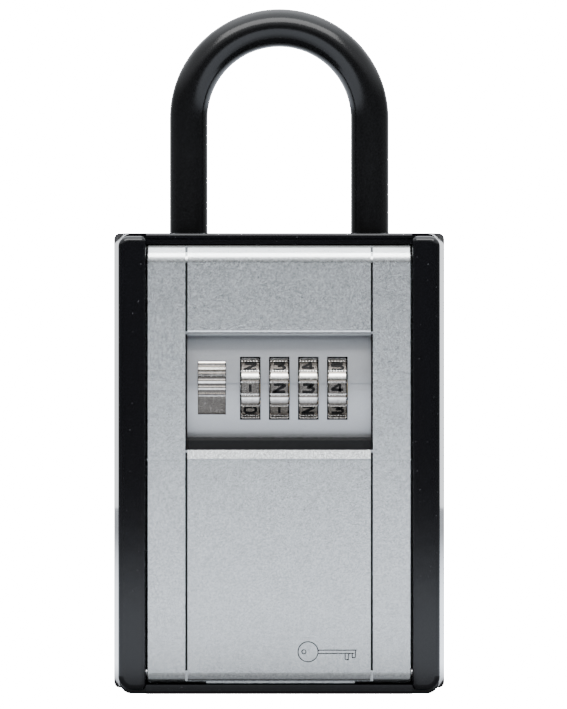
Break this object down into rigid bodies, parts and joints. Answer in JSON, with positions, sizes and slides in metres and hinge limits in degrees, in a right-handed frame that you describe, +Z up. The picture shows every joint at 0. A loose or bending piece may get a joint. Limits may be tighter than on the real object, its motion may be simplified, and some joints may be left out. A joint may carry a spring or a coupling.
{
  "type": "key lock box",
  "caption": "Portable key box with a number lock, a sliding dial cover, a front door hinged at the foot and a lift-off U shackle.",
  "frame": {"origin": "under the centre of the box, in the plane of its underside", "axes": "+Z up through the shackle, +Y from the door to the back pad, +X to the right when facing the door"},
  "size_m": [0.0846, 0.05, 0.1734],
  "materials": {
    "casing_black": "high gloss black",
    "post_black": "high gloss black",
    "pad_rubber": "matt black rubber",
    "silver_lacquer": "fine-grained silver lacquer",
    "bezel_satin": "satin silver",
    "works_black": "moulded black, fine texture",
    "zinc_casting": "as cast, tumbled",
    "dial_nickel": "nickel plated, worn",
    "bright_steel": "bright turned steel",
    "spring_steel": "blued spring steel",
    "disc_brass": "plain brass",
    "shackle_vinyl": "satin black vinyl",
    "lever_red": "moulded red"
  },
  "bodies": {
    "root": {"rear_housing": "casing_black", "back_pad": "pad_rubber", "left_side_post": "post_black", "right_side_post": "post_black", "side_post_screws": "bright_steel", "bottom_rail": "post_black", "hinge_pins": "bright_steel", "strike_spring": "spring_steel", "strike_screws": "bright_steel", "shackle_block": "zinc_casting", "shackle_block_cover": "zinc_casting", "shackle_cover_screws": "bright_steel", "shackle_bushes": "works_black"},
    "shackle": {"shackle_bar": "bright_steel", "shackle_sleeve": "shackle_vinyl"},
    "shackle_lock": {"shackle_lock_plate": "bright_steel", "shackle_lock_knob": "lever_red"},
    "door": {"door_shell": "silver_lacquer", "dial_bezel": "bezel_satin", "lock_frame": "works_black", "door_back_cover": "works_black", "back_cover_screws": "bright_steel", "dial_axle": "bright_steel", "axle_clips": "spring_steel", "detent_spring": "spring_steel", "latch_spring": "spring_steel"},
    "cover": {"cover_slide": "silver_lacquer"},
    "latch": {"thumb_slide": "dial_nickel", "latch_plate": "bright_steel"},
    "code_lever": {"code_change_lever": "lever_red", "clutch_comb": "spring_steel"},
    "wheel_1": {"number_wheel_1": "dial_nickel"},
    "disc_1": {"code_disc_1": "disc_brass"},
    "wheel_2": {"number_wheel_2": "dial_nickel"},
    "disc_2": {"code_disc_2": "disc_brass"},
    "wheel_3": {"number_wheel_3": "dial_nickel"},
    "disc_3": {"code_disc_3": "disc_brass"},
    "wheel_4": {"number_wheel_4": "dial_nickel"},
    "disc_4": {"code_disc_4": "disc_brass"}
  },
  "joints": [
    {"name": "door_hinge", "type": "hinge", "parent": "root", "child": "door", "pos_m": [0, -0.0214, 0.00545], "axis": [1, 0, 0], "range_deg": [0, 90], "deforming": ["strike_spring"]},
    {"name": "cover_slide_travel", "type": "slide", "parent": "door", "child": "cover", "axis": [0, 0, 1], "range_m": [0, 0.029]},
    {"name": "latch_travel", "type": "slide", "parent": "door", "child": "latch", "axis": [0, 0, 1], "range_m": [-0.004, 0], "stiffness_N_per_m": 150, "springref_m": 0.008, "deforming": ["latch_spring"]},
    {"name": "code_lever_travel", "type": "slide", "parent": "door", "child": "code_lever", "axis": [1, 0, 0], "range_m": [0, 0.0009]},
    {"name": "shackle_lift", "type": "slide", "parent": "root", "child": "shackle", "axis": [0, 0, 1], "range_m": [0, 0.03]},
    {"name": "shackle_lock_travel", "type": "slide", "parent": "root", "child": "shackle_lock", "axis": [1, 0, 0], "range_m": [0, 0.0025]},
    {"name": "wheel_1_turn", "type": "hinge", "parent": "door", "child": "wheel_1", "pos_m": [-0.00727, -0.0125, 0.0769], "axis": [1, 0, 0], "continuous": true, "deforming": ["detent_spring"]},
    {"name": "disc_1_shift", "type": "slide", "parent": "wheel_1", "child": "disc_1", "axis": [1, 0, 0], "range_m": [0, 0.0009]},
    {"name": "wheel_2_turn", "type": "hinge", "parent": "door", "child": "wheel_2", "pos_m": [0.00004, -0.0125, 0.0769], "axis": [1, 0, 0], "continuous": true, "deforming": ["detent_spring"]},
    {"name": "disc_2_shift", "type": "slide", "parent": "wheel_2", "child": "disc_2", "axis": [1, 0, 0], "range_m": [0, 0.0009]},
    {"name": "wheel_3_turn", "type": "hinge", "parent": "door", "child": "wheel_3", "pos_m": [0.00735, -0.0125, 0.0769], "axis": [1, 0, 0], "continuous": true, "deforming": ["detent_spring"]},
    {"name": "disc_3_shift", "type": "slide", "parent": "wheel_3", "child": "disc_3", "axis": [1, 0, 0], "range_m": [0, 0.0009]},
    {"name": "wheel_4_turn", "type": "hinge", "parent": "door", "child": "wheel_4", "pos_m": [0.01466, -0.0125, 0.0769], "axis": [1, 0, 0], "continuous": true, "deforming": ["detent_spring"]},
    {"name": "disc_4_shift", "type": "slide", "parent": "wheel_4", "child": "disc_4", "axis": [1, 0, 0], "range_m": [0, 0.0009]}
  ],
  "couplings": [
    {"joint": "disc_1_shift", "follows": "code_lever_travel", "ratio": 1},
    {"joint": "disc_2_shift", "follows": "code_lever_travel", "ratio": 1},
    {"joint": "disc_3_shift", "follows": "code_lever_travel", "ratio": 1},
    {"joint": "disc_4_shift", "follows": "code_lever_travel", "ratio": 1}
  ]
}
